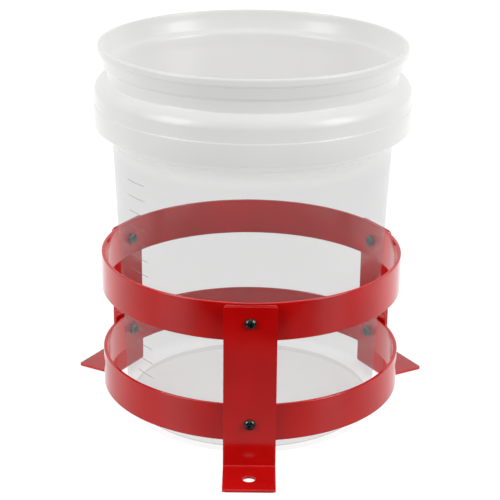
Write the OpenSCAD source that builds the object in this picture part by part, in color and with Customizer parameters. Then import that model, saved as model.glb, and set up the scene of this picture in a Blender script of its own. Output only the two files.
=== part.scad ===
// Plastic feed pail standing in a three-legged steel floor stand.
// Origin: on the floor, on the common axis of the hoops and the pail. +Z is up and the
// front leg points towards -Y.

/* [Hoops] */
// Outside diameter of both hoops
hoop_od = 304.8; // [296:0.4:320]
// Height of the flat bar that the hoops are rolled from
hoop_h = 38.1; // [30:0.1:42]
// Thickness of the hoops' bar
hoop_t = 3.175; // [2.5:0.025:4]
// Height of the upper hoop's top edge above the floor
upper_top = 171.45; // [160:0.05:176]
// Height of the lower hoop's top edge above the floor
lower_top = 66.675; // [60:0.025:80]

/* [Legs] */
// Width of a leg's flat bar
leg_w = 50.8; // [40:0.1:60]
// Thickness of a leg's bar
leg_t = 3.175; // [2.5:0.025:5]
// Height of a leg
leg_h = 170.4; // [162:0.1:200]
// Length of a foot, from the leg's back face to its tip
foot_l = 50.8; // [45:0.1:70]
// Inside radius of the bend between a leg and its foot
bend_r = 1.6; // [1:0.1:4]
// Radius of a bar's corners
corner_r = 2.6; // [1:0.1:6]
// Diameter of the anchor hole in a foot
anchor_d = 12.7; // [8:0.1:16]
// Distance from a foot's tip to the centre of its anchor hole
anchor_inset = 22.2; // [14:0.1:26]

/* [Fasteners] */
// Major diameter of the screws
screw_d = 6.2; // [5:0.1:6.6]
// Diameter of a screw's round head
head_d = 11.1; // [10:0.1:13]
// Height of a screw's head
head_h = 3.35; // [3:0.05:4]
// Width across the flats of the hexagon socket
socket_af = 4; // [3:0.1:4.4]
// Depth of the hexagon socket
socket_depth = 2.1; // [1:0.1:2.4]
// Diameter of the screw holes in the bars
screw_hole_d = 6.8; // [6.4:0.1:8]
// Width across the flats of the lock nuts
nut_af = 11.1; // [10:0.1:13]
// Height of a lock nut with its locking ring
nut_h = 5; // [4.6:0.1:8]

/* [Pail] */
// Overall height of the pail
pail_h = 385; // [375:1:400]
// Outside diameter of the pail at its foot
foot_d = 254; // [240:1:262]
// Outside diameter of the tapered wall where the skirt begins
wall_top_d = 279; // [270:1:284]
// Wall thickness
wall = 2.3; // [1.8:0.1:3]
// Outside diameter of the skirt round the top
skirt_d = 313; // [308:1:318]
// Height of the skirt's lower edge
skirt_z = 305; // [290:1:308]
// Outside diameter of the neck between the skirt and the lip
neck_d = 286; // [284:1:290]
// Outside diameter of the lip
lip_d = 303.4; // [300:0.2:306]
// Distance between two level marks on the wall
mark_pitch = 15.5; // [14:0.5:17]
// Number of level marks on the wall
mark_count = 16; // [4:1:16]

/* [Hidden] */
$fn = 96;
LEG_NAMES = ["front", "left", "right"];
LEG_TURNS = [0, -120, 120];
TIER_NAMES = ["upper", "lower"];

red_coat = "firebrick";
black_oxide = "dimgray";
nylon = "gainsboro";
natural_plastic = "whitesmoke";

// Clearances
seat_gap = 0.05;
thread_gap = 0.04;
cut = 1;

// Hoops
hoop_r = hoop_od / 2;
hoop_in_r = hoop_r - hoop_t;
edge_r = 0.5;
tier_z = [upper_top - hoop_h / 2, lower_top - hoop_h / 2];

// Legs: d is measured outwards from the leg's back face
back_d = hoop_r + seat_gap;
bend_out_r = bend_r + leg_t;
anchor_at = back_d + foot_l - anchor_inset;

// Fasteners
grip = leg_t + seat_gap + hoop_t;
insert_h = 1.6;
insert_d = 8.4;
nut_lip = 0.4;
screw_tip = 0.7;
screw_l = grip + nut_h + screw_tip;
tip_chamfer = 0.8;
nut_ac = nut_af / cos(30);
nut_chamfer = 0.9;
// The nut's corners just clear the hoop's hollow side
nut_seat = sqrt(pow(hoop_in_r, 2) - pow(nut_ac / 2, 2)) - thread_gap;

// Pail
foot_r = foot_d / 2;
wall_top_r = wall_top_d / 2;
skirt_r = skirt_d / 2;
neck_r = neck_d / 2;
lip_r = lip_d / 2;
floor_lift = 3;
floor_t = 2.6;
ring_w = 5;
heel_r = 6;
shoulder_r = skirt_r - neck_r;
shoulder_z = pail_h - 46.5;
band_z = skirt_z + 22;
band_step = 0.7;
neck_top_z = pail_h - 22;
bead_z = pail_h - 19.5;
bead_r = lip_r - 4.6;
lip_z = pail_h - 8;
lip_w = 4.4;
lip_edge_r = 1.6;
mark_turn = -53.5;
mark_span = 11.5;
mark_w = 1.3;
mark_proud = 0.6;
mark_top_z = 265.6;

// Points along an arc, from angle a0 to angle a1, about centre c in the r-z plane
function arc(c, r, a0, a1, steps) =
    [for (i = [0:steps]) let (a = a0 + (a1 - a0) * i / steps) c + r * [cos(a), sin(a)]];

// Outside radius of the tapered wall at height z
function wall_r(z) = foot_r + (wall_top_r - foot_r) * z / skirt_z;

// A cylinder along +Y that starts at y
module rod_y(r, y, length) {
    translate([0, y, 0]) rotate([-90, 0, 0]) cylinder(r = r, h = length);
}

// Puts a leg or a fastener, drawn for the front, at its place round the hoops
module around(leg) {
    rotate([0, 0, LEG_TURNS[leg]]) children();
}

// One screw hole through the hoop at each leg
module hoop_screw_holes(z) {
    for (turn = LEG_TURNS)
        rotate([0, 0, turn])
            translate([0, 0, z])
                rod_y(screw_hole_d / 2, -hoop_r - cut, hoop_t + 2 * cut);
}

// Flat bar rolled on edge into a ring, with its long edges eased
module hoop(z) {
    bar = concat(
        arc([hoop_r - edge_r, hoop_h / 2 - edge_r], edge_r, 0, 90, 3),
        arc([hoop_in_r + edge_r, hoop_h / 2 - edge_r], edge_r, 90, 180, 3),
        arc([hoop_in_r + edge_r, edge_r - hoop_h / 2], edge_r, 180, 270, 3),
        arc([hoop_r - edge_r, edge_r - hoop_h / 2], edge_r, 270, 360, 3)
    );
    color(red_coat)
        difference() {
            translate([0, 0, z]) rotate_extrude() polygon(bar);
            hoop_screw_holes(z);
        }
}

// Outline of a flat bar's end: a rectangle with two rounded corners at its far end
module bar_end_outline(length) {
    polygon(concat(
        [[-leg_w / 2, 0], [leg_w / 2, 0]],
        arc([leg_w / 2 - corner_r, length - corner_r], corner_r, 0, 90, 5),
        arc([corner_r - leg_w / 2, length - corner_r], corner_r, 90, 180, 5)
    ));
}

// Flat bar bent outwards at the floor into a foot
module leg(index) {
    bend_c = [bend_out_r, bend_out_r];
    side = concat(
        [[0, leg_h]],
        arc(bend_c, bend_out_r, 180, 270, 8),
        [[foot_l, 0], [foot_l, leg_t]],
        arc(bend_c, bend_r, 270, 180, 8),
        [[leg_t, leg_h]]
    );
    color(red_coat)
        around(index)
            difference() {
                intersection() {
                    // The bent bar: its outline lies in the d-z plane
                    translate([-leg_w / 2, -back_d, 0])
                        rotate([90, 0, -90])
                            mirror([0, 0, 1])
                                linear_extrude(height = leg_w) polygon(side);
                    // Rounded corners at the top and at the foot's tip
                    union() {
                        translate([0, -back_d + cut, 0])
                            rotate([90, 0, 0])
                                linear_extrude(height = bend_out_r + cut)
                                    bar_end_outline(leg_h);
                        translate([0, -back_d, -cut])
                            mirror([0, 1, 0])
                                linear_extrude(height = bend_out_r + cut)
                                    bar_end_outline(foot_l);
                    }
                }
                for (z = tier_z)
                    translate([0, 0, z])
                        rod_y(screw_hole_d / 2, -back_d - leg_t - cut, leg_t + 2 * cut);
                translate([0, -anchor_at, -cut]) cylinder(d = anchor_d, h = leg_t + 2 * cut);
            }
}

// Button-head screw with a hexagon socket, its head on the leg's outer face
module screw(leg, z) {
    head_base = back_d + leg_t;
    dome = concat(
        [[0, -screw_l], [screw_d / 2 - tip_chamfer, -screw_l]],
        [[screw_d / 2, tip_chamfer - screw_l], [screw_d / 2, 0], [head_d / 2, 0]],
        [for (i = [0:7]) [head_d / 2 * cos(i * 8), 0.45 + (head_h - 0.45) * sin(i * 8) / sin(56)]],
        [[0, head_h]]
    );
    color(black_oxide)
        around(leg)
            translate([0, -head_base, z])
                rotate([90, 0, 0])
                    difference() {
                        rotate_extrude() polygon(dome);
                        translate([0, 0, head_h - socket_depth])
                            cylinder(d = socket_af / cos(30), h = socket_depth + cut, $fn = 6);
                    }
}

// Hexagon lock nut against the hoop's inner face, hollowed for its locking ring
module nut(leg, z) {
    chamfered = [
        [0, 0], [nut_ac / 2, 0], [nut_ac / 2, nut_h - nut_chamfer - insert_h / 2],
        [nut_af / 2 - 0.2, nut_h - insert_h / 2], [nut_af / 2 - 0.8, nut_h], [0, nut_h]
    ];
    color(black_oxide)
        around(leg)
            translate([0, -nut_seat, z])
                rotate([-90, 0, 0])
                    difference() {
                        intersection() {
                            cylinder(d = nut_ac, h = nut_h, $fn = 6);
                            rotate_extrude() polygon(chamfered);
                        }
                        translate([0, 0, -cut])
                            cylinder(r = screw_d / 2 + thread_gap, h = nut_h + 2 * cut);
                        translate([0, 0, nut_h - insert_h - nut_lip])
                            cylinder(d = insert_d, h = insert_h + nut_lip + cut);
                    }
}

// Nylon locking ring in the nut's far end
module insert(leg, z) {
    color(nylon)
        around(leg)
            translate([0, nut_h - insert_h - nut_lip - nut_seat, z])
                rotate([-90, 0, 0])
                    difference() {
                        cylinder(d = insert_d - 0.04, h = insert_h);
                        translate([0, 0, -cut])
                            cylinder(r = screw_d / 2 + thread_gap, h = insert_h + 2 * cut);
                    }
}

// Raised level marks, one above the other, on the front left of the wall
module level_marks() {
    for (i = [0:mark_count - 1]) {
        z = mark_top_z - i * mark_pitch;
        rotate([0, 0, mark_turn - mark_span / 2 - 90])
            translate([0, 0, z])
                rotate_extrude(angle = mark_span)
                    polygon([
                        [wall_r(z) - wall / 2, -mark_w / 2],
                        [wall_r(z) + mark_proud, -mark_w / 2 + mark_proud / 2],
                        [wall_r(z) + mark_proud, mark_w / 2 - mark_proud / 2],
                        [wall_r(z) - wall / 2, mark_w / 2]
                    ]);
    }
}

// Moulded pail: foot ring, tapered wall, open-bottomed skirt, neck, bead and lip
module bucket() {
    ring_in_r = foot_r - heel_r - ring_w;
    shoulder_c = [neck_r, shoulder_z];
    skirt_in_r = skirt_r - wall;
    vault_r = shoulder_r - wall;
    vault_top_a = 84;
    outside = concat(
        [[0, floor_lift], [ring_in_r - floor_lift, floor_lift], [ring_in_r, 0]],
        arc([foot_r - heel_r, heel_r], heel_r, 270, 360, 6),
        [[wall_r(skirt_z), skirt_z], [neck_r - 1.4, shoulder_z + vault_r * sin(vault_top_a)]],
        arc(shoulder_c, vault_r, vault_top_a, 0, 8),
        [[skirt_in_r, skirt_z], [skirt_r - 0.5, skirt_z], [skirt_r, skirt_z + 0.5]],
        [[skirt_r, band_z - band_step], [skirt_r - band_step, band_z]],
        [[skirt_r - band_step, shoulder_z + 1]],
        arc(shoulder_c, shoulder_r - band_step, 5, 90, 10)
    );
    top = concat(
        [[neck_r, neck_top_z], [bead_r, bead_z], [bead_r + 1.6, lip_z], [lip_r - 0.6, lip_z + 0.6]],
        arc([lip_r - lip_edge_r, pail_h - lip_edge_r], lip_edge_r, 0, 90, 4),
        arc([lip_r - lip_w + 1.2, pail_h - 1.2], 1.2, 90, 180, 4)
    );
    inside = [
        [lip_r - lip_w, lip_z], [bead_r - wall, bead_z], [neck_r - wall, neck_top_z - wall / 2],
        [neck_r - wall, shoulder_z + shoulder_r - wall], [wall_top_r - wall, skirt_z],
        [foot_r - wall, heel_r + floor_lift], [foot_r - wall - heel_r / 2, floor_lift + floor_t],
        [0, floor_lift + floor_t]
    ];
    color(natural_plastic) {
        rotate_extrude($fn = 180) polygon(concat(outside, top, inside));
        level_marks();
    }
}

bucket();
hoop(tier_z[0]);  // upper_hoop
hoop(tier_z[1]);  // lower_hoop
for (i = [0:len(LEG_NAMES) - 1]) {
    leg(i);
    for (k = [0:len(TIER_NAMES) - 1]) {
        place = str(LEG_NAMES[i], "_", TIER_NAMES[k], "_");
        screw(i, tier_z[k]);
        nut(i, tier_z[k]);
        insert(i, tier_z[k]);
    }
}
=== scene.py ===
"""A feed pail standing in a three-legged steel floor stand: its looks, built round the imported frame."""

import logging
import math
from collections.abc import Sequence
from dataclasses import dataclass, field
from enum import Enum

import bpy
from mathutils import Matrix, Vector


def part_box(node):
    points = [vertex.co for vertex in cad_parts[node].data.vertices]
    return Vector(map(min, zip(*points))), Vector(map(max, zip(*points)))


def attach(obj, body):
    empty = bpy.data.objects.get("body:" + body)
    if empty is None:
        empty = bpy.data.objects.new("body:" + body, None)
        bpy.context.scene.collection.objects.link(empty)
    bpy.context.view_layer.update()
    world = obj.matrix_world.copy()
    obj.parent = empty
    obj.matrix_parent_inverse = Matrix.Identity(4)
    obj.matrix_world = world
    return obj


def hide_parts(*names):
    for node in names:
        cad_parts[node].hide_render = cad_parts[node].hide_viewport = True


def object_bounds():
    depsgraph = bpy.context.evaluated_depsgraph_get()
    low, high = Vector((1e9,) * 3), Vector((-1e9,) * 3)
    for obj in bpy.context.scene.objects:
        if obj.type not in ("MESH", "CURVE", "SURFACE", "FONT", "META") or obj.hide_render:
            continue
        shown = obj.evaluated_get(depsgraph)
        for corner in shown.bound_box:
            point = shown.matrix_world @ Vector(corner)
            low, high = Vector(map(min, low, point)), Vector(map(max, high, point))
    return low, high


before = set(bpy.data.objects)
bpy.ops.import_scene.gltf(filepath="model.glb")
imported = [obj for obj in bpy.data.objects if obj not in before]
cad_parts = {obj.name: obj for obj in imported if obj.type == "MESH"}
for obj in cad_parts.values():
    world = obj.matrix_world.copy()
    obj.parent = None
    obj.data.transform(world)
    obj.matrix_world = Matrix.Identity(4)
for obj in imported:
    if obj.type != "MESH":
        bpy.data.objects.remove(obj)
CAD_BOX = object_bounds()

LOG = logging.getLogger("feed_pail")
MM = 0.001
MERGE = 1e-7

Point = tuple[float, float]
Colour = tuple[float, float, float]


class Corner(Enum):
    """Where a leg stands round the hoops: its turn in degrees from the front."""

    FRONT = 0
    LEFT = -120
    RIGHT = 120

    @property
    def label(self) -> str:
        """The word that starts the names of this leg's pieces."""
        return self.name.lower()


class Tier(Enum):
    """Which hoop a fastener holds."""

    UPPER = "upper"
    LOWER = "lower"

    @property
    def hoop(self) -> str:
        """The name of the hoop's node."""
        return f"{self.value}_hoop"

    @property
    def height(self) -> float:
        """Height of the middle of the hoop, where its screws are."""
        low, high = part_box(self.hoop)
        return (low.z + high.z) / 2


class Body(Enum):
    """The two bodies that the pieces ride on."""

    STAND = "stand"
    PAIL = "pail"


# --------------------------------------------------------------------------------------
# Bench work: the steps that every piece is made with
# --------------------------------------------------------------------------------------


def arc(centre: Point, radius: float, start: float, end: float, steps: int) -> list[Point]:
    """Points along an arc in the section plane.

    Args:
        centre: The arc's centre, as (radius, height).
        radius: The arc's radius.
        start: The angle of its first point, in degrees.
        end: The angle of its last point, in degrees.
        steps: How many chords it has.

    Returns:
        The points, first to last.
    """
    angles = [math.radians(start + (end - start) * i / steps) for i in range(steps + 1)]
    return [(centre[0] + radius * math.cos(a), centre[1] + radius * math.sin(a)) for a in angles]


def softened(outline: Sequence[Point], radius: float, steps: int = 3) -> list[Point]:
    """An open outline with its corners rounded.

    Args:
        outline: The corners, in order. The first and the last stay where they are.
        radius: The rounding, which is made smaller where a side is too short for it.
        steps: How many chords each rounded corner has.

    Returns:
        The points of the rounded outline.
    """
    points = [Vector(p) for p in outline]
    rounded = [points[0]]
    for before, corner, after in zip(points, points[1:], points[2:]):
        reach = min(radius, (corner - before).length * 0.45, (after - corner).length * 0.45)
        start = corner + (before - corner).normalized() * reach
        end = corner + (after - corner).normalized() * reach
        for i in range(steps + 1):
            t = i / steps
            rounded.append(start * (1 - t) ** 2 + corner * 2 * t * (1 - t) + end * t * t)
    rounded.append(points[-1])
    return [(p.x, p.y) for p in rounded]


def deselect() -> None:
    """Leaves edit mode and leaves nothing selected."""
    if bpy.context.object and bpy.context.object.mode != "OBJECT":
        bpy.ops.object.mode_set(mode="OBJECT")
    bpy.ops.object.select_all(action="DESELECT")


def pick(obj: bpy.types.Object) -> None:
    """Makes an object the only one selected, and the active one."""
    deselect()
    obj.select_set(True)
    bpy.context.view_layer.objects.active = obj


def named(name: str) -> bpy.types.Object:
    """Names the object that an operator has just added, and its mesh, and returns it."""
    obj = bpy.context.object
    obj.name = name
    obj.data.name = name
    return obj


def draw(name: str, outline: Sequence[Point], closed: bool) -> bpy.types.Object:
    """Draws an outline in the x-z plane by pushing a vertex from point to point.

    Args:
        name: The new object's name.
        outline: The points, as (x, z).
        closed: Whether the last point is joined to the first.

    Returns:
        The object, in edit mode with its outline all selected.
    """
    deselect()
    bpy.ops.mesh.primitive_plane_add(size=MM)
    obj = named(name)
    bpy.ops.object.mode_set(mode="EDIT")
    bpy.ops.mesh.select_all(action="SELECT")
    bpy.ops.mesh.merge(type="CENTER")
    points = [Vector((x, 0, z)) for x, z in outline]
    bpy.ops.transform.translate(value=points[0])
    for here, there in zip(points, points[1:] + points[:1] if closed else points[1:]):
        bpy.ops.mesh.extrude_vertices_move(TRANSFORM_OT_translate={"value": there - here})
    bpy.ops.mesh.select_all(action="SELECT")
    bpy.ops.mesh.remove_doubles(threshold=MERGE)
    return obj


def turned(name: str, outline: Sequence[Point], steps: int, closed: bool = False) -> bpy.types.Object:
    """Turns an outline about the upright axis into a closed solid.

    Args:
        name: The new object's name.
        outline: The section, as (radius, height). An open one starts and ends on the axis.
        steps: How many sides the turned piece has.
        closed: Whether the section is a closed ring, as a hoop's is.

    Returns:
        The solid, in object mode.
    """
    obj = draw(name, outline, closed)
    bpy.ops.mesh.spin(steps=steps, angle=math.tau, center=(0, 0, 0), axis=(0, 0, 1))
    bpy.ops.mesh.select_all(action="SELECT")
    bpy.ops.mesh.remove_doubles(threshold=MERGE)
    bpy.ops.mesh.normals_make_consistent(inside=False)
    bpy.ops.object.mode_set(mode="OBJECT")
    return obj


def set_down(obj: bpy.types.Object, where: Matrix) -> bpy.types.Object:
    """Puts a piece in its place and writes the place into its mesh.

    Args:
        obj: The piece.
        where: Its place, which holds no scale.

    Returns:
        The same piece, its object at the origin and unturned.
    """
    pick(obj)
    obj.matrix_world = where
    bpy.ops.object.transform_apply(location=True, rotation=True, scale=True)
    return obj


def copied(obj: bpy.types.Object, name: str) -> bpy.types.Object:
    """Copies a piece, with a mesh of its own, under a new name."""
    pick(obj)
    bpy.ops.object.duplicate(linked=False)
    return named(name)


def modify(obj: bpy.types.Object, kind: str, **settings: object) -> None:
    """Adds a modifier, sets it and applies it.

    Args:
        obj: The piece.
        kind: The modifier's type, such as BEVEL.
        settings: Its properties.
    """
    pick(obj)
    bpy.ops.object.modifier_add(type=kind)
    modifier = obj.modifiers[-1]
    for key, value in settings.items():
        setattr(modifier, key, value)
    bpy.ops.object.modifier_apply(modifier=modifier.name)


def cut(obj: bpy.types.Object, tool: bpy.types.Object, operation: str = "DIFFERENCE") -> None:
    """Cuts a piece with another solid, which is then thrown away."""
    modify(obj, "BOOLEAN", operation=operation, object=tool, solver="EXACT")
    bpy.data.objects.remove(tool)


def drill(obj: bpy.types.Object, radius: float, depth: float, where: Matrix, sides: int = 48) -> None:
    """Drills a hole.

    Args:
        obj: The piece.
        radius: The hole's radius.
        depth: How far the drill reaches on both sides of its middle.
        where: The place of the drill's middle, its axis along its own Z.
        sides: How many sides the hole has.
    """
    deselect()
    bpy.ops.mesh.primitive_cylinder_add(vertices=sides, radius=radius, depth=2 * depth)
    cut(obj, set_down(named("drill"), where))


def ease_edges(obj: bpy.types.Object, width: float, segments: int = 3) -> None:
    """Rounds a piece's sharp edges, as pressing and coating leave them."""
    modify(
        obj,
        "BEVEL",
        width=width,
        segments=segments,
        limit_method="ANGLE",
        angle_limit=math.radians(40),
        harden_normals=False,
        use_clamp_overlap=True,
    )


def smooth(obj: bpy.types.Object, angle: float = 35, weighted: bool = False) -> None:
    """Shades a piece smooth, except across edges sharper than an angle.

    Args:
        obj: The piece.
        angle: The sharpest edge that is smoothed over, in degrees.
        weighted: Whether large faces stay flat beside their rounded edges.
    """
    pick(obj)
    bpy.ops.object.shade_smooth_by_angle(angle=math.radians(angle))
    if weighted:
        modify(obj, "WEIGHTED_NORMAL", keep_sharp=True, weight=90)


def round_the_hoops(corner: Corner, height: float = 0.0) -> Matrix:
    """The place, round the hoops and above the floor, of a piece made for the front."""
    return Matrix.Rotation(math.radians(corner.value), 4, "Z") @ Matrix.Translation((0, 0, height))


# --------------------------------------------------------------------------------------
# Shader work
# --------------------------------------------------------------------------------------


class Value:
    """A number in a shader. Arithmetic on it adds Math nodes."""

    def __init__(self, paint: "Paint", socket: bpy.types.NodeSocket) -> None:
        """Wraps the socket that gives the number."""
        self.paint = paint
        self.socket = socket

    def _math(self, operation: str, *terms: "Value | float") -> "Value":
        """Adds a Math node over some terms and returns its result."""
        return self.paint.add("ShaderNodeMath", {"operation": operation}, dict(enumerate(terms)))

    def __add__(self, other: "Value | float") -> "Value":
        """This number plus another."""
        return self._math("ADD", self, other)

    def __radd__(self, other: float) -> "Value":
        """Another number plus this."""
        return self._math("ADD", other, self)

    def __sub__(self, other: "Value | float") -> "Value":
        """This number less another."""
        return self._math("SUBTRACT", self, other)

    def __rsub__(self, other: float) -> "Value":
        """Another number less this."""
        return self._math("SUBTRACT", other, self)

    def __mul__(self, other: "Value | float") -> "Value":
        """This number times another."""
        return self._math("MULTIPLY", self, other)

    def __rmul__(self, other: float) -> "Value":
        """Another number times this."""
        return self._math("MULTIPLY", other, self)

    def at_most(self, ceiling: float) -> "Value":
        """This number, or a ceiling where it is higher."""
        return self._math("MINIMUM", self, ceiling)

    def root(self) -> "Value":
        """The square root of this number."""
        return self._math("SQRT", self)

    def rise(self, low: float, high: float) -> "Value":
        """0 up to low, 1 from high on, and a smooth step between them."""
        settings = {"interpolation_type": "SMOOTHSTEP"}
        sockets = {"Value": self, "From Min": low, "From Max": high}
        return self.paint.add("ShaderNodeMapRange", settings, sockets)


class Paint:
    """One material and its node tree."""

    def __init__(self, name: str) -> None:
        """Starts a material with nothing in its tree but the Object coordinates."""
        self.material = bpy.data.materials.new(name)
        self.material.use_nodes = True
        self.tree = self.material.node_tree
        self.tree.nodes.clear()
        self.coordinates = self.tree.nodes.new("ShaderNodeTexCoord").outputs["Object"]

    def add(
        self,
        kind: str,
        settings: dict[str, object] | None = None,
        sockets: dict[str | int, object] | None = None,
        output: str | int = 0,
    ) -> Value:
        """Adds a node.

        Args:
            kind: The node's type.
            settings: Its properties, which are set first.
            sockets: Values or links for its inputs, by name or by number.
            output: The output that is wanted.

        Returns:
            That output.
        """
        node = self.tree.nodes.new(kind)
        for key, value in (settings or {}).items():
            setattr(node, key, value)
        for key, value in (sockets or {}).items():
            if isinstance(value, Value):
                self.tree.links.new(value.socket, node.inputs[key])
            elif isinstance(value, bpy.types.NodeSocket):
                self.tree.links.new(value, node.inputs[key])
            else:
                node.inputs[key].default_value = value
        return Value(self, node.outputs[output])

    def place(self) -> tuple[Value, Value, Value]:
        """The object's own x, y and z coordinates, in metres."""
        split = self.add("ShaderNodeSeparateXYZ", None, {"Vector": self.coordinates}).socket.node
        return tuple(Value(self, out) for out in split.outputs)

    def noise(self, size: float, detail: float = 2.0, stretch: Colour = (1, 1, 1)) -> Value:
        """Noise of about 0 to 1.

        Args:
            size: The width of its blotches, in metres.
            detail: How many finer layers it has.
            stretch: How much it is drawn out along each axis.

        Returns:
            The noise.
        """
        scale = tuple(1 / s for s in stretch)
        where = self.add("ShaderNodeMapping", None, {"Vector": self.coordinates, "Scale": scale})
        return self.add("ShaderNodeTexNoise", None, {"Vector": where, "Scale": 1 / size, "Detail": detail})

    def blend(self, share: Value, low: "Colour | Value", high: "Colour | Value") -> Value:
        """A colour between two, by a share of 0 to 1."""
        first, second = (c if isinstance(c, Value) else (*c, 1) for c in (low, high))
        sockets = {0: share, 6: first, 7: second}
        return self.add("ShaderNodeMix", {"data_type": "RGBA", "blend_type": "MIX"}, sockets, 2)

    def bump(self, height: Value, depth: float) -> Value:
        """A normal bent by a height, which reaches a depth in metres."""
        return self.add("ShaderNodeBump", None, {"Height": height, "Distance": depth, "Strength": 1.0})

    def finish(self, **inputs: object) -> bpy.types.Material:
        """Adds the Principled shader and the output.

        Args:
            inputs: Values or links by input name, with _ for a space.

        Returns:
            The finished material.
        """
        sockets = {key.replace("_", " "): value for key, value in inputs.items()}
        shader = self.add("ShaderNodeBsdfPrincipled", None, sockets)
        self.add_output(shader)
        return self.material

    def add_output(self, shader: Value) -> None:
        """Joins a shader to the material's output."""
        output = self.tree.nodes.new("ShaderNodeOutputMaterial")
        self.tree.links.new(shader.socket, output.inputs["Surface"])


@dataclass(frozen=True)
class PowderCoat:
    """Glossy red powder coat: fine orange peel, with slow changes of gloss and of depth of colour."""

    name: str = "red_powder_coat"
    colour: Colour = (0.36, 0.0015, 0.0012)
    deep: Colour = (0.30, 0.0008, 0.0006)
    peel_size: float = 2.2 * MM
    peel_depth: float = 0.012 * MM
    patch_size: float = 38 * MM
    fleck_size: float = 0.6 * MM
    smoothest: float = 0.07
    index: float = 1.5

    def material(self) -> bpy.types.Material:
        """Builds the material."""
        paint = Paint(self.name)
        patch = paint.noise(self.patch_size, 3)
        fleck = paint.noise(self.fleck_size, 1)
        peel = paint.noise(self.peel_size, 2)
        share = (patch * 0.7 + fleck * 0.3).rise(0.3, 0.7)
        return paint.finish(
            Base_Color=paint.blend(share, self.deep, self.colour),
            Roughness=patch * 0.08 + peel * 0.04 + self.smoothest,
            Normal=paint.bump(peel, self.peel_depth),
            IOR=self.index,
        )


@dataclass(frozen=True)
class BlackOxide:
    """Oiled black oxide on steel: near black with grey-green glints."""

    name: str = "black_oxide"
    dark: Colour = (0.012, 0.015, 0.015)
    pale: Colour = (0.11, 0.135, 0.128)
    cloud_size: float = 3 * MM
    grain_size: float = 0.5 * MM
    grain_depth: float = 0.01 * MM
    smoothest: float = 0.16
    metal: float = 0.8

    def material(self) -> bpy.types.Material:
        """Builds the material."""
        paint = Paint(self.name)
        cloud = paint.noise(self.cloud_size, 3)
        grain = paint.noise(self.grain_size, 2)
        return paint.finish(
            Base_Color=paint.blend(cloud.rise(0.35, 0.75), self.dark, self.pale),
            Metallic=self.metal,
            Roughness=cloud * 0.12 + grain * 0.08 + self.smoothest,
            Normal=paint.bump(grain, self.grain_depth),
        )


@dataclass(frozen=True)
class Nylon:
    """Nylon of the locking rings, painted near black as painted shade for the recess in the nut that it
    sits in, in random blotches.
    """

    name: str = "nylon"
    # Painted shade: both colours are near black and stand in for the shade in the nut's recess where the
    # ring sits.
    recess_shade: Colour = (0.02, 0.024, 0.022)
    recess_shade_deep: Colour = (0.008, 0.01, 0.009)
    blotch_size: float = 1.5 * MM
    pit_size: float = 0.4 * MM
    pit_depth: float = 0.01 * MM
    smoothest: float = 0.35

    def material(self) -> bpy.types.Material:
        """Builds the material."""
        paint = Paint(self.name)
        blotch = paint.noise(self.blotch_size, 3)
        return paint.finish(
            # Painted shade of the nut's recess, blended in random blotches.
            Base_Color=paint.blend(blotch.rise(0.35, 0.7), self.recess_shade, self.recess_shade_deep),
            Roughness=blotch * 0.15 + self.smoothest,
            Normal=paint.bump(paint.noise(self.pit_size, 1), self.pit_depth),
        )


@dataclass(frozen=True)
class MouldedPlastic:
    """Natural polyethylene of the pail: milky round the skirt and mouth, see-through down the wall.

    Alpha says how much of what is behind the wall it hides. The glow is painted light: light of the
    plastic's own, which stands in for light that scatters inside the milky part and lifts the shade that
    falls below the skirt.
    """

    name: str = "pail_plastic"
    milk: Colour = (0.22, 0.22, 0.216)
    milk_shade: Colour = (0.205, 0.205, 0.201)
    film: Colour = (0.12, 0.12, 0.119)
    painted_glow: Colour = (0.405, 0.405, 0.40)
    thick: float = 0.93
    thin: float = 0.215
    inner: float = 0.012
    mark: float = 0.30
    milky_rise: float = 28 * MM
    foot_low: float = 10 * MM
    foot_high: float = 27 * MM
    foot_clear: float = 0.55
    floor_low: float = 4 * MM
    floor_high: float = 9.2 * MM
    floor_radius: float = 124.5 * MM
    edge: float = 0.2 * MM
    flow_size: float = 60 * MM
    grain_size: float = 1.2 * MM
    grain_depth: float = 0.004 * MM
    smoothest: float = 0.33
    index: float = 1.38

    def material(self, wall: tuple[float, float, float], clear_z: float) -> bpy.types.Material:
        """Builds the material.

        Args:
            wall: Radius of the middle of the wall at the floor, how much it grows for each metre of
                height, and the radius at the floor past which only the level marks reach.
            clear_z: Height at which the milky top has given way to the see-through wall.

        Returns:
            The material.
        """
        paint = Paint(self.name)
        x, y, z = paint.place()
        middle, taper, proud = wall
        radius = (x * x + y * y).root() - z * taper
        outside = radius.rise(middle - self.edge, middle + self.edge)
        below = 1 - z.rise(clear_z - 2 * MM, clear_z)
        marked = radius.rise(proud, proud + self.edge) * below
        dense = z.rise(clear_z, clear_z + self.milky_rise)
        foot = 1 - z.rise(self.foot_low, self.foot_high)
        floor = z.rise(self.floor_low, self.floor_low + 0.4 * MM)
        floor = floor * (1 - z.rise(self.floor_high - 0.8 * MM, self.floor_high))
        floor = floor * (1 - radius.rise(self.floor_radius - MM, self.floor_radius))
        skin = (outside * (1 - foot * self.foot_clear) + floor).at_most(1)
        skin = skin * (self.thin - self.inner) + self.inner + marked * self.mark
        flow = paint.noise(self.flow_size, 3, (1, 1, 3))
        grain = paint.noise(self.grain_size, 2)
        milk = paint.blend(flow.rise(0.3, 0.7), self.milk_shade, self.milk)
        clear = 1 - dense
        cover = skin * (1 - dense * dense) + dense * dense * self.thick
        return paint.finish(
            Base_Color=paint.blend(dense, self.film, milk),
            # Painted light: the milky top glows, rising fast above clear_z to lift the shade below the
            # skirt.
            Emission_Color=paint.blend(1 - clear * clear * clear, (0, 0, 0), self.painted_glow),
            Emission_Strength=1.0,
            Roughness=flow * 0.06 + grain * 0.04 + self.smoothest,
            Alpha=cover * (flow * 0.06 + 0.97),
            Normal=paint.bump(grain, self.grain_depth),
            IOR=self.index,
            Coat_Weight=0.08,
            Coat_Roughness=0.1,
            Coat_IOR=1.5,
        )


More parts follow.
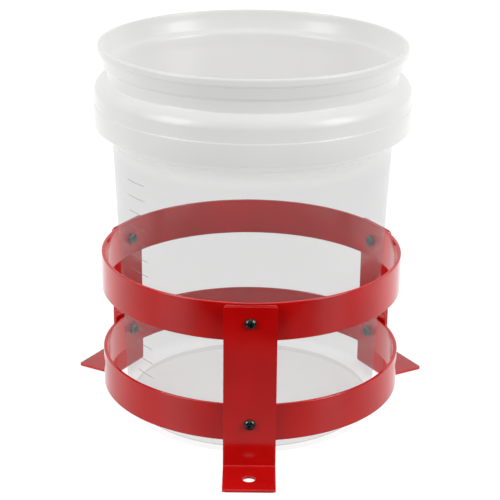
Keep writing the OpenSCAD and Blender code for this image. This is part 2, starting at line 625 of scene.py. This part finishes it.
def skirt_radius() -> float:
    """Outside radius of the pail's skirt, from the frame."""
    low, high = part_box("bucket")
    return (high.x - low.x) / 2


# --------------------------------------------------------------------------------------
# Sub-assemblies
# --------------------------------------------------------------------------------------


@dataclass
class Pail:
    """The moulded pail, with the sizes of its section in metres."""

    finish: MouldedPlastic = field(default_factory=MouldedPlastic)
    foot: float = 127 * MM
    wall_top: float = 139.5 * MM
    wall: float = 2.3 * MM
    skirt_z: float = 305 * MM
    band_z: float = 327 * MM
    band_step: float = 0.7 * MM
    neck: float = 143 * MM
    shoulder_drop: float = 46.5 * MM
    neck_drop: float = 22 * MM
    bead_drop: float = 19.5 * MM
    bead_in: float = 4.6 * MM
    lip: float = 151.7 * MM
    lip_w: float = 4.4 * MM
    floor_lift: float = 3 * MM
    floor_t: float = 2.6 * MM
    heel: float = 6 * MM
    ring_w: float = 5 * MM
    clear_z: float = 275 * MM
    mark_top: float = 265.6 * MM
    mark_pitch: float = 15.5 * MM
    mark_count: int = 16
    mark_turn: float = -53.5
    mark_span: float = 11.5
    mark_proud: float = 0.6 * MM
    mark_h: float = 1.3 * MM
    sides: int = 256

    @property
    def height(self) -> float:
        """Overall height, from the frame."""
        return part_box("bucket")[1].z

    @property
    def taper(self) -> float:
        """How much the wall's radius grows for each metre of height."""
        return (self.wall_top - self.foot) / self.skirt_z

    def wall_radius(self, z: float) -> float:
        """Outside radius of the tapered wall at a height."""
        return self.foot + self.taper * z

    def section(self) -> list[Point]:
        """The pail's section, from the middle of its underside round to the middle of its floor."""
        h, skirt, neck, lip = self.height, skirt_radius(), self.neck, self.lip
        shoulder_z = h - self.shoulder_drop
        shoulder = skirt - neck
        vault = shoulder - self.wall
        ring_in = self.foot - self.heel - self.ring_w
        under = softened(
            [(0, self.floor_lift), (ring_in - self.floor_lift, self.floor_lift), (ring_in, 0),
             (self.foot - self.heel, 0)],
            1.2 * MM,
        )
        heel = arc((self.foot - self.heel, self.heel), self.heel, 275, 359, 9)
        tuck = softened(
            [heel[-1], (self.wall_radius(self.skirt_z), self.skirt_z),
             (neck - 1.4 * MM, shoulder_z + vault * math.sin(math.radians(84)))],
            1.5 * MM,
        )
        top_of_vault = arc((neck, shoulder_z), vault, 84, 0, 14)
        face = softened(
            [top_of_vault[-1], (skirt - self.wall, self.skirt_z), (skirt, self.skirt_z),
             (skirt, self.band_z - self.band_step), (skirt - self.band_step, self.band_z),
             (skirt - self.band_step, shoulder_z)],
            0.8 * MM,
        )
        shoulder_curve = arc((neck, shoulder_z), shoulder - self.band_step, 4, 88, 16)
        bead = lip - self.bead_in
        collar = softened(
            [shoulder_curve[-1], (neck, shoulder_z + shoulder),
             (neck, h - self.neck_drop), (bead, h - self.bead_drop),
             (bead + 1.6 * MM, h - 8.6 * MM), (lip - 0.6 * MM, h - 7.4 * MM), (lip, h - 6.4 * MM),
             (lip, h - 2 * MM)],
            0.9 * MM,
        )
        crown = arc((lip - 1.8 * MM, h - 1.8 * MM), 1.8 * MM, 0, 90, 6)
        crown += arc((lip - self.lip_w + 1.4 * MM, h - 1.4 * MM), 1.4 * MM, 90, 180, 5)
        inside = softened(
            [crown[-1], (lip - self.lip_w, h - 8 * MM), (bead - self.wall, h - self.bead_drop),
             (neck - self.wall, h - 23 * MM), (neck - self.wall, shoulder_z + shoulder - self.wall),
             (self.wall_top - self.wall, self.skirt_z),
             (self.foot - self.wall, self.heel + self.floor_lift),
             (self.foot - self.wall - self.heel / 2, self.floor_lift + self.floor_t),
             (0, self.floor_lift + self.floor_t)],
            2.5 * MM,
            5,
        )
        skirt_run = tuck[1:] + top_of_vault[1:] + face[1:] + shoulder_curve
        return under + heel + skirt_run + collar[1:] + crown + inside[1:]

    def level_mark(self, z: float) -> bpy.types.Object:
        """One raised level mark on the front left of the wall, at a height."""
        deep, proud, half = self.wall / 2, self.mark_proud, self.mark_h / 2
        r = self.wall_radius(z)
        outline = [(r - deep, z - half), (r + proud, z - half + proud / 2),
                   (r + proud, z + half - proud / 2), (r - deep, z + half)]
        obj = draw("level_mark", outline, True)
        bpy.ops.mesh.edge_face_add()
        bpy.ops.mesh.spin(
            steps=10, angle=math.radians(self.mark_span), center=(0, 0, 0), axis=(0, 0, 1)
        )
        bpy.ops.mesh.select_all(action="SELECT")
        bpy.ops.mesh.remove_doubles(threshold=MERGE)
        bpy.ops.mesh.normals_make_consistent(inside=False)
        start = self.mark_turn + self.mark_span / 2 - 90
        return set_down(obj, Matrix.Rotation(math.radians(start), 4, "Z"))

    def build(self) -> list[bpy.types.Object]:
        """Builds the pail and puts its finish on."""
        body = turned("pail", self.section(), self.sides)
        for i in range(self.mark_count):
            mark = self.level_mark(self.mark_top - i * self.mark_pitch)
            cut(body, mark, "UNION")
        smooth(body, 30)
        middle = self.foot - self.wall / 2
        section = (middle, self.taper, self.foot + 0.25 * MM)
        body.data.materials.append(self.finish.material(section, self.clear_z))
        body.visible_shadow = body.visible_diffuse = False
        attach(body, Body.PAIL.value)
        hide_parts("bucket")
        return [body]


@dataclass
class Stand:
    """The red steelwork: two rolled hoops and three bent legs."""

    finish: PowderCoat = field(default_factory=PowderCoat)
    bar: float = 3.175 * MM
    seat_gap: float = 0.05 * MM
    eased: float = 0.55 * MM
    screw_hole: float = 3.4 * MM
    bend: float = 1.6 * MM
    corner: float = 2.6 * MM
    anchor_hole: float = 6.35 * MM
    anchor_inset: float = 22.2 * MM
    hoop_sides: int = 288

    @property
    def hoop_radius(self) -> float:
        """Outside radius of the hoops, from the frame."""
        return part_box("upper_hoop")[1].x

    @property
    def leg_back(self) -> float:
        """How far a leg's back face is from the hoops' axis."""
        return self.hoop_radius + self.seat_gap

    @property
    def leg_face(self) -> float:
        """How far a leg's outer face is from the hoops' axis."""
        return self.leg_back + self.bar

    def drill_screw_hole(self, obj: bpy.types.Object, corner: Corner, height: float, radius: float) -> None:
        """Drills a screw hole through a hoop or a leg at a corner."""
        level = round_the_hoops(corner, height) @ Matrix.Translation((0, -radius, 0))
        drill(obj, self.screw_hole, 2 * self.bar, level @ Matrix.Rotation(math.pi / 2, 4, "X"))

    def hoop(self, tier: Tier) -> bpy.types.Object:
        """Rolls one hoop and drills it for its screws."""
        low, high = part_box(tier.hoop)
        outer, inner, ease = self.hoop_radius, self.hoop_radius - self.bar, self.eased
        corners = [(outer, high.z, 0), (inner, high.z, 90), (inner, low.z, 180), (outer, low.z, 270)]
        section: list[Point] = []
        for radius, z, start in corners:
            centre = (radius + (ease if radius == inner else -ease), z + (ease if z == low.z else -ease))
            section += arc(centre, ease, start, start + 90, 4)
        obj = turned(f"rolled_{tier.value}_hoop", section, self.hoop_sides, closed=True)
        for corner in Corner:
            self.drill_screw_hole(obj, corner, tier.height, self.hoop_radius)
        smooth(obj, 30, weighted=True)
        return obj

    def front_leg(self) -> bpy.types.Object:
        """Bends, drills and eases the leg at the front, which the other two are copied from."""
        low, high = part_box("front_leg")
        width, tip = high.x - low.x, -low.y - self.leg_back
        bend_out = self.bend + self.bar
        side = [(0, high.z), *arc((bend_out, bend_out), bend_out, 180, 270, 12), (tip, 0), (tip, self.bar),
                *arc((bend_out, bend_out), self.bend, 270, 180, 12), (self.bar, high.z)]
        obj = draw("bent_front_leg", side, True)
        bpy.ops.mesh.edge_face_add()
        bpy.ops.mesh.extrude_region_move(TRANSFORM_OT_translate={"value": (0, width, 0)})
        bpy.ops.mesh.select_all(action="SELECT")
        bpy.ops.mesh.normals_make_consistent(inside=False)
        bpy.ops.mesh.select_all(action="DESELECT")
        bpy.ops.object.mode_set(mode="OBJECT")
        for edge in obj.data.edges:
            ends = [obj.data.vertices[i].co for i in edge.vertices]
            flat = abs(ends[0].y - ends[1].y) < MERGE
            at_top = all(abs(p.z - high.z) < MERGE for p in ends)
            at_tip = all(abs(p.x - tip) < MERGE for p in ends)
            edge.select = flat and (at_top or at_tip)
        bpy.ops.object.mode_set(mode="EDIT")
        bpy.ops.mesh.select_mode(type="EDGE")
        bpy.ops.mesh.bevel(offset=self.corner, segments=7, affect="EDGES")
        bpy.ops.mesh.select_mode(type="VERT")
        place = Matrix.Translation((-width / 2, -self.leg_back, 0)) @ Matrix.Rotation(-math.pi / 2, 4, "Z")
        set_down(obj, place)
        for tier in Tier:
            self.drill_screw_hole(obj, Corner.FRONT, tier.height, self.leg_back)
        hole_y = low.y + self.anchor_inset
        drill(obj, self.anchor_hole, 2 * self.bar, Matrix.Translation((0, hole_y, 0)), 72)
        ease_edges(obj, 0.5 * MM)
        smooth(obj, 35, weighted=True)
        return obj

    def build(self) -> list[bpy.types.Object]:
        """Builds the hoops and legs and puts their finish on."""
        coat = self.finish.material()
        pieces: list[bpy.types.Object] = []
        for tier in Tier:
            obj = self.hoop(tier)
            obj.data.materials.append(coat)
            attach(obj, Body.STAND.value)
            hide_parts(tier.hoop)
            pieces.append(obj)
        pattern = self.front_leg()
        pattern.data.materials.append(coat)
        for corner in Corner:
            obj = pattern if corner is Corner.FRONT else copied(pattern, f"bent_{corner.label}_leg")
            set_down(obj, round_the_hoops(corner))
            pieces.append(obj)
        for corner, obj in zip(Corner, pieces[2:]):
            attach(obj, Body.STAND.value)
            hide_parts(f"{corner.label}_leg")
        return pieces


@dataclass
class Fastenings:
    """The screws, lock nuts and locking rings that hold the hoops to the legs."""

    face: float
    hoop_radius: float
    bar: float
    steel: BlackOxide = BlackOxide("black_oxide_screw", (0.007, 0.009, 0.009), (0.07, 0.088, 0.083))
    # Painted light: the nuts get a paler copy of the screws' black oxide, which stands in for their lit
    # faces and flats.
    lit_nut_steel: BlackOxide = BlackOxide("black_oxide_nut", (0.07, 0.085, 0.08), (0.26, 0.31, 0.295))
    ring: Nylon = field(default_factory=Nylon)
    screw_r: float = 3.1 * MM
    pitch: float = 1.27 * MM
    thread_depth: float = 0.45 * MM
    thread_gap: float = 0.04 * MM
    head_r: float = 5.55 * MM
    head_h: float = 3.35 * MM
    socket_af: float = 4 * MM
    socket_depth: float = 2.1 * MM
    nut_af: float = 11.1 * MM
    nut_h: float = 5 * MM
    insert_h: float = 1.6 * MM
    insert_r: float = 4.2 * MM
    nut_lip: float = 0.4 * MM
    tip: float = 0.7 * MM

    @property
    def nut_corner(self) -> float:
        """Radius of the nut's corners."""
        return self.nut_af / 2 / math.cos(math.radians(30))

    @property
    def nut_seat(self) -> float:
        """How far the nut's seat is from the hoops' axis: its corners just clear the hoop's hollow side."""
        inner = self.hoop_radius - self.bar
        return math.sqrt(inner**2 - self.nut_corner**2) - self.thread_gap

    def screw(self) -> bpy.types.Object:
        """A button-head screw, its head upwards and its seat at height 0."""
        length = self.face - (self.hoop_radius - self.bar) + self.nut_h + self.tip
        turns = int((length - 2 * MM) / self.pitch)
        thread = [(0, -length), (self.screw_r - 0.9 * MM, -length)]
        for i in range(turns):
            z = 0.8 * MM - length + i * self.pitch
            thread += [(self.screw_r, z), (self.screw_r - self.thread_depth, z + self.pitch / 2)]
        dome = [
            (self.head_r * math.cos(a), 0.45 * MM + (self.head_h - 0.45 * MM) * math.sin(a) / math.sin(1))
            for a in (i / 12 for i in range(13))
        ]
        seat = [(self.screw_r, -1.2 * MM), (self.screw_r, 0),
                (self.head_r - 0.2 * MM, 0), (self.head_r, 0.2 * MM)]
        obj = turned("screw", thread + seat + dome + [(0, self.head_h)], 64)
        socket = self.socket_af / 2 / math.cos(math.radians(30))
        middle = Matrix.Translation((0, 0, self.head_h))
        drill(obj, socket, self.socket_depth, middle, 6)
        ease_edges(obj, 0.12 * MM, 2)
        smooth(obj, 32)
        return obj

    def nut(self) -> bpy.types.Object:
        """A lock nut, its seat at height 0 and its collar upwards."""
        deselect()
        bpy.ops.mesh.primitive_cylinder_add(
            vertices=6, radius=self.nut_corner, depth=self.nut_h, location=(0, 0, self.nut_h / 2)
        )
        obj = named("lock_nut")
        set_down(obj, obj.matrix_world.copy())
        flats = self.nut_af / 2
        shape = [(0, -MM), (flats, -MM), (flats, 0), (self.nut_corner, 0.45 * MM),
                 (self.nut_corner, 3.3 * MM), (flats - 0.2 * MM, 4.2 * MM)]
        shape += arc((flats - 1.0 * MM, 4.2 * MM), 0.8 * MM, 10, 80, 5) + [(0, self.nut_h)]
        cut(obj, turned("nut_form", shape, 72), "INTERSECT")
        drill(obj, self.screw_r + self.thread_gap, 2 * self.nut_h, Matrix.Identity(4))
        depth = self.insert_h + self.nut_lip
        drill(obj, self.insert_r, depth, Matrix.Translation((0, 0, self.nut_h)))
        ease_edges(obj, 0.15 * MM, 2)
        smooth(obj, 32)
        return obj

    def insert(self) -> bpy.types.Object:
        """A nylon locking ring, in its place in the nut."""
        top = self.nut_h - self.nut_lip
        low, inner, outer = top - self.insert_h, self.screw_r + self.thread_gap, self.insert_r - 0.02 * MM
        section = [(inner + 0.2 * MM, low), (outer, low),
                   *arc((outer - 0.4 * MM, top - 0.4 * MM), 0.4 * MM, 0, 90, 4),
                   *arc((inner + 0.4 * MM, top - 0.4 * MM), 0.4 * MM, 90, 180, 4), (inner, low + 0.2 * MM)]
        obj = turned("locking_ring", section, 56, closed=True)
        smooth(obj, 40)
        return obj

    def build(self) -> list[bpy.types.Object]:
        """Makes one of each, copies it to every corner and tier, and puts the finishes on."""
        steel, lit_nut_steel, nylon = (f.material() for f in (self.steel, self.lit_nut_steel, self.ring))
        outwards = Matrix.Translation((0, -self.face, 0)) @ Matrix.Rotation(math.pi / 2, 4, "X")
        inwards = Matrix.Translation((0, -self.nut_seat, 0)) @ Matrix.Rotation(-math.pi / 2, 4, "X")
        kinds = {
            "screw": (self.screw(), outwards, steel, "black_oxide"),
            "nut": (self.nut(), inwards, lit_nut_steel, "black_oxide"),
            "insert": (self.insert(), inwards, nylon, "nylon"),
        }
        pieces: list[bpy.types.Object] = []
        for part, (pattern, lie, material, slot) in kinds.items():
            pattern.data.materials.append(material)
            for corner in Corner:
                for tier in Tier:
                    node = f"{corner.label}_{tier.value}_{part}"
                    place = round_the_hoops(corner, tier.height) @ lie
                    obj = set_down(copied(pattern, f"{node}_piece"), place)
                    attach(obj, Body.STAND.value)
                    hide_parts(node)
                    pieces.append(obj)
            bpy.data.objects.remove(pattern)
        return pieces


# --------------------------------------------------------------------------------------
# The studio
# --------------------------------------------------------------------------------------


@dataclass(frozen=True)
class SoftBox:
    """One soft light: where it hangs, what it looks at, its size and its power."""

    name: str
    place: Vector
    aim: Vector
    width: float
    depth: float
    watts: float

    def hang(self) -> None:
        """Adds the light."""
        lamp = bpy.data.lights.new(self.name, "AREA")
        lamp.shape = "RECTANGLE"
        lamp.size, lamp.size_y, lamp.energy = self.width, self.depth, self.watts
        obj = bpy.data.objects.new(self.name, lamp)
        bpy.context.scene.collection.objects.link(obj)
        turn = (self.aim - self.place).to_track_quat("-Z", "Y").to_matrix().to_4x4()
        obj.matrix_world = Matrix.Translation(self.place) @ turn


@dataclass
class Studio:
    """A pale floor, a white table that the camera doesn't see, soft light and the camera."""

    camera_back: float = 1.5104
    camera_up: float = 0.7315
    look_down: float = 20.46
    pan: float = 0.0516
    roll: float = 0.58
    lens: float = 113.52
    floor_size: float = 30.0
    floor_glow: float = 0.86
    table_half: float = 1.1
    table_front: float = -0.46
    table_back: float = 1.6
    table_glow: float = 1.3
    clear_layers: int = 32
    frontlight: float = 0.03
    backlight: float = 1.0
    gloss_front: float = 0.02
    gloss_behind: float = 0.9

    def camera(self) -> None:
        """Puts the camera in front of the stand, a little above it."""
        data = bpy.data.cameras.new("camera")
        data.lens, data.clip_end = self.lens, 100
        obj = bpy.data.objects.new("camera", data)
        bpy.context.scene.collection.objects.link(obj)
        turn = Matrix.Rotation(math.radians(self.pan), 4, "Z")
        tilt = Matrix.Rotation(math.radians(90 - self.look_down), 4, "X")
        lean = Matrix.Rotation(math.radians(self.roll), 4, "Z")
        place = Matrix.Translation((0, -self.camera_back, self.camera_up))
        obj.matrix_world = place @ turn @ tilt @ lean
        bpy.context.scene.camera = obj

    def floor(self) -> None:
        """Lays the floor."""
        deselect()
        bpy.ops.mesh.primitive_plane_add(size=self.floor_size)
        obj = named("studio_floor")
        paint = Paint("studio_floor")
        speck = paint.noise(0.4, 2)
        obj.data.materials.append(
            paint.finish(
                Base_Color=paint.blend(speck, (0.13, 0.13, 0.13), (0.15, 0.15, 0.15)),
                Roughness=0.9,
                Emission_Color=(1, 1, 1, 1),
                Emission_Strength=self.floor_glow,
            )
        )
        obj.visible_glossy = obj.visible_diffuse = False

    def reflecting_table(self) -> None:
        """Lays the white table that lights the stand and shows in its gloss, unseen by the camera."""
        width, depth = 2 * self.table_half, self.table_back - self.table_front
        deselect()
        bpy.ops.mesh.primitive_plane_add(size=1)
        obj = named("studio_table")
        bpy.ops.object.mode_set(mode="EDIT")
        bpy.ops.mesh.select_all(action="SELECT")
        bpy.ops.transform.resize(value=(width, depth, 1))
        bpy.ops.transform.translate(value=(0, self.table_front + depth / 2, -0.2 * MM))
        bpy.ops.object.mode_set(mode="OBJECT")
        paint = Paint("studio_table")
        y = paint.place()[1]
        lit = y.rise(-0.45, 0.3)
        obj.data.materials.append(
            paint.finish(
                Base_Color=(0, 0, 0, 1),
                Emission_Color=paint.blend(lit, (0.2, 0.2, 0.2), (1.0, 1.0, 1.0)),
                Emission_Strength=self.table_glow,
            )
        )
        obj.visible_camera = obj.visible_shadow = False

    def world(self) -> None:
        """A white backdrop, soft light from behind, and a dim room for the gloss to show."""
        world = bpy.data.worlds.new("studio")
        bpy.context.scene.world = world
        world.use_nodes = True
        tree = world.node_tree
        tree.nodes.clear()

        def node(kind: str, *links: tuple[object, object]) -> bpy.types.Node:
            """Adds a node of the world, with the sockets it takes."""
            new = tree.nodes.new(kind)
            for socket, value in links:
                if isinstance(value, bpy.types.NodeSocket):
                    tree.links.new(value, new.inputs[socket])
                else:
                    new.inputs[socket].default_value = value
            return new

        where = node("ShaderNodeTexCoord").outputs["Generated"]
        split = node("ShaderNodeSeparateXYZ", (0, where))
        ahead = ("Value", split.outputs["Y"])
        behind = node("ShaderNodeMapRange", ahead, ("From Min", -0.9), ("From Max", 0.4),
                      ("To Min", self.frontlight), ("To Max", self.backlight))
        wall = node("ShaderNodeMapRange", ahead, ("From Min", 0.1), ("From Max", 0.45),
                    ("To Min", self.gloss_front), ("To Max", self.gloss_behind))
        rays = node("ShaderNodeLightPath").outputs
        soft = node("ShaderNodeBackground", ("Strength", behind.outputs[0]))
        gloss = node("ShaderNodeBackground", ("Strength", wall.outputs[0]))
        backdrop = node("ShaderNodeBackground", ("Strength", 1.0))
        for shader in (soft, gloss, backdrop):
            shader.inputs["Color"].default_value = (1, 1, 1, 1)
        lit = node("ShaderNodeMixShader", (0, rays["Is Glossy Ray"]),
                   (1, soft.outputs[0]), (2, gloss.outputs[0]))
        seen = node("ShaderNodeMixShader", (0, rays["Is Camera Ray"]),
                    (1, lit.outputs[0]), (2, backdrop.outputs[0]))
        node("ShaderNodeOutputWorld", (0, seen.outputs[0]))

    def lights(self) -> None:
        """Hangs the soft boxes."""
        low, high = CAD_BOX
        middle = Vector((0, 0, (low.z + high.z) / 2))
        for box in (
            SoftBox("overhead", Vector((0, -0.2, 2.2)), middle, 2.4, 2.4, 18),
            SoftBox("front_left", Vector((-1.8, -1.15, 1.1)), middle, 1.0, 1.6, 54),
            SoftBox("front_right", Vector((1.85, -1.0, 1.0)), middle, 0.9, 1.6, 56),
            SoftBox("front_fill", Vector((0.0, -2.6, 1.7)), middle, 1.2, 0.6, 3),
        ):
            box.hang()

    def build(self) -> None:
        """Builds the studio."""
        scene = bpy.context.scene
        scene.view_settings.view_transform = "Standard"
        scene.cycles.transparent_max_bounces = self.clear_layers
        self.camera()
        self.floor()
        self.reflecting_table()
        self.world()
        self.lights()


def main() -> None:
    """Builds the object and the studio, and reports each piece."""
    logging.basicConfig(level=logging.INFO, format="%(name)s: %(message)s")
    Studio().build()
    stand = Stand()
    fastenings = Fastenings(face=stand.leg_face, hoop_radius=stand.hoop_radius, bar=stand.bar)
    for assembly in (Pail(), stand, fastenings):
        for piece in assembly.build():
            LOG.info("%s: %d faces", piece.name, len(piece.data.polygons))


if __name__ == "__main__":
    main()
